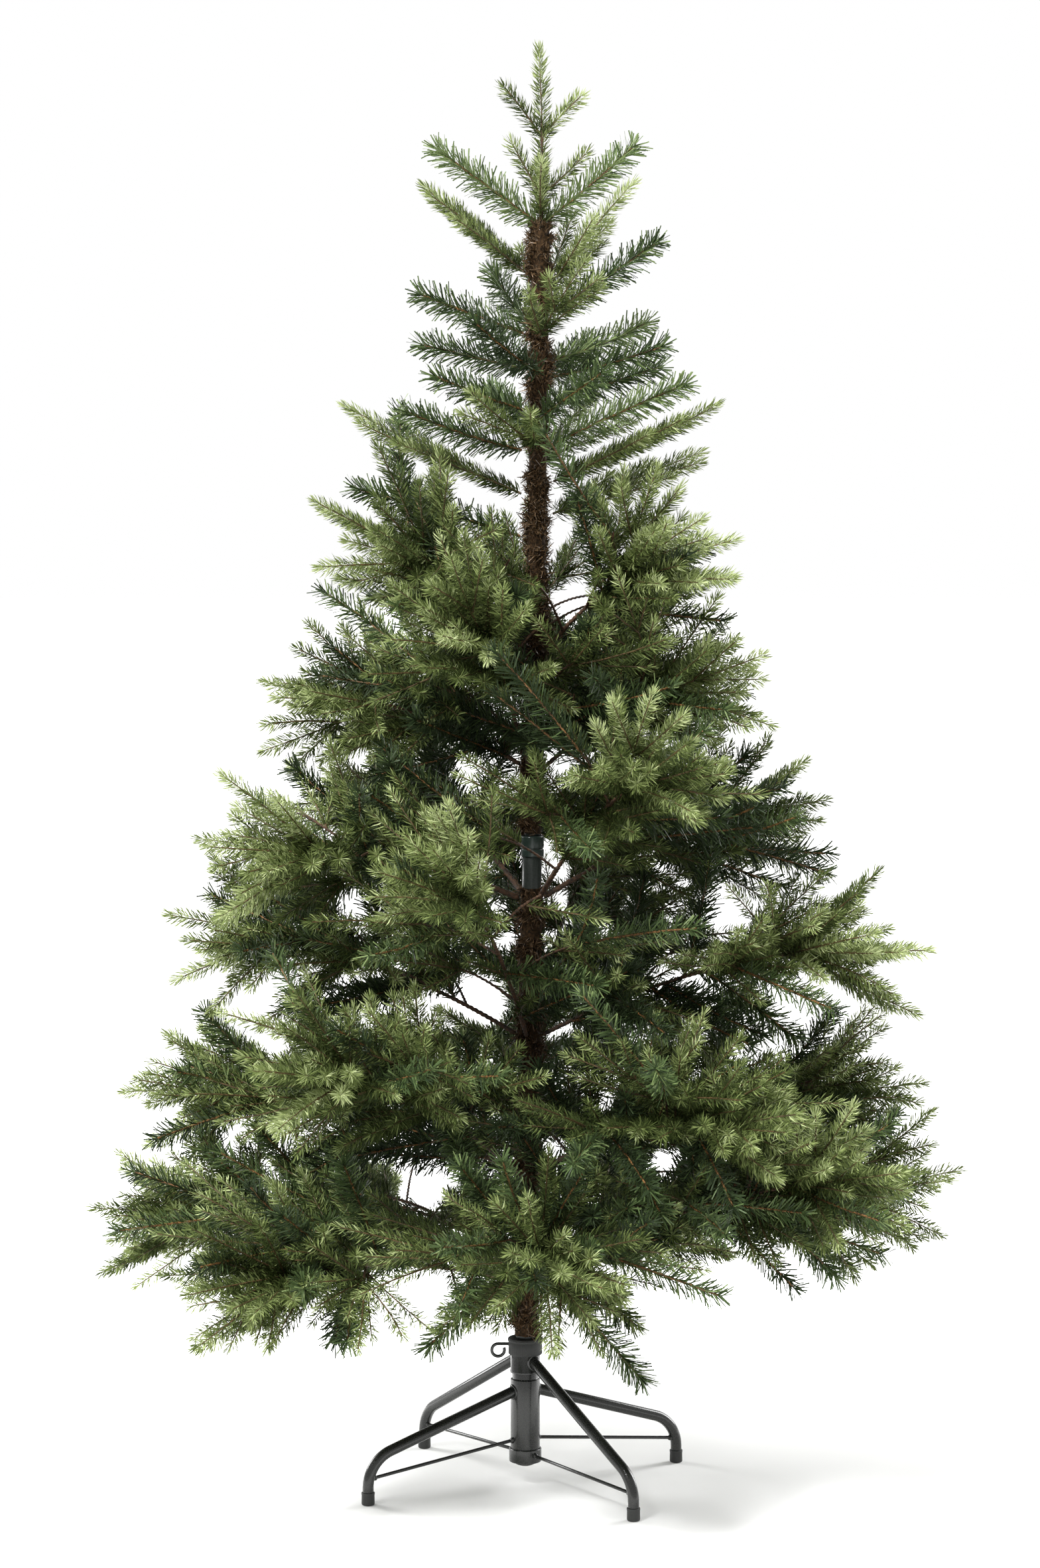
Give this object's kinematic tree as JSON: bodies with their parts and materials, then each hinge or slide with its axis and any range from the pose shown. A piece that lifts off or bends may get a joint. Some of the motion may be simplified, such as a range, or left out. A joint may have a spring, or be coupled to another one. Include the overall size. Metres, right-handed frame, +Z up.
{
  "type": "artificial spruce tree on stand",
  "caption": "Conical artificial spruce with a foil-wrapped pole, tiers of wire boughs with needle sprays, on a folding four-legged metal stand.",
  "frame": {"origin": "on the floor under the pole's foot, on the stand tube's axis", "axes": "+Z up along the stand tube, +X to the right and -Y towards the viewer of the front"},
  "size_m": [1.1185, 1.0787, 1.8],
  "materials": {
    "foliage": "matte plastic needles, yellow-green moulded sprigs and darker green strip brushes",
    "bough_wire": "dark wire wrapped in green and brown tape",
    "brown_foil": "steel pole wrapped in short bristly reddish-brown foil",
    "green_plastic": "satin dark green moulding",
    "black_plastic": "matte black moulding",
    "black_enamel": "gloss black enamel on steel tube and rod"
  },
  "bodies": {
    "root": {"bough_fourth_1": "bough_wire", "bough_fourth_2": "bough_wire", "bough_fourth_3": "bough_wire", "bough_fourth_4": "bough_wire", "bough_low_1": "bough_wire", "bough_low_2": "bough_wire", "bough_low_3": "bough_wire", "bough_low_4": "bough_wire", "bough_low_5": "bough_wire", "bough_low_6": "bough_wire", "bough_low_7": "bough_wire", "brace_back_right": "black_enamel", "brace_front_left": "black_enamel", "clamp_screw": "black_enamel", "foliage_fifth_1": "foliage", "foliage_fifth_2": "foliage", "foliage_fifth_3": "foliage", "foliage_fifth_4": "foliage", "foliage_fourth_1": "foliage", "foliage_fourth_2": "foliage", "foliage_fourth_3": "foliage", "foliage_fourth_4": "foliage", "foliage_leader": "foliage", "foliage_low_1": "foliage", "foliage_low_2": "foliage", "foliage_low_3": "foliage", "foliage_low_4": "foliage", "foliage_low_5": "foliage", "foliage_low_6": "foliage", "foliage_low_7": "foliage", "foliage_second_1": "foliage", "foliage_second_2": "foliage", "foliage_second_3": "foliage", "foliage_second_4": "foliage", "foliage_second_5": "foliage", "foliage_sixth_1": "foliage", "foliage_sixth_2": "foliage", "foliage_sixth_3": "foliage", "foliage_third_1": "foliage", "foliage_third_2": "foliage", "foliage_third_3": "foliage", "foliage_third_4": "foliage", "foliage_upper_1": "foliage", "foliage_upper_2": "foliage", "foliage_upper_3": "foliage", "foliage_upper_4": "foliage", "foot_cap_back_left": "black_plastic", "foot_cap_back_right": "black_plastic", "foot_cap_front_left": "black_plastic", "foot_cap_front_right": "black_plastic", "joint_collar": "green_plastic", "leg_back_left": "black_enamel", "leg_back_right": "black_enamel", "leg_front_left": "black_enamel", "leg_front_right": "black_enamel", "pole_cuff": "black_plastic", "stand_tube": "black_enamel", "swivel_brace": "black_enamel", "swivel_sleeve": "black_enamel", "trunk": "brown_foil"}
  },
  "joints": []
}
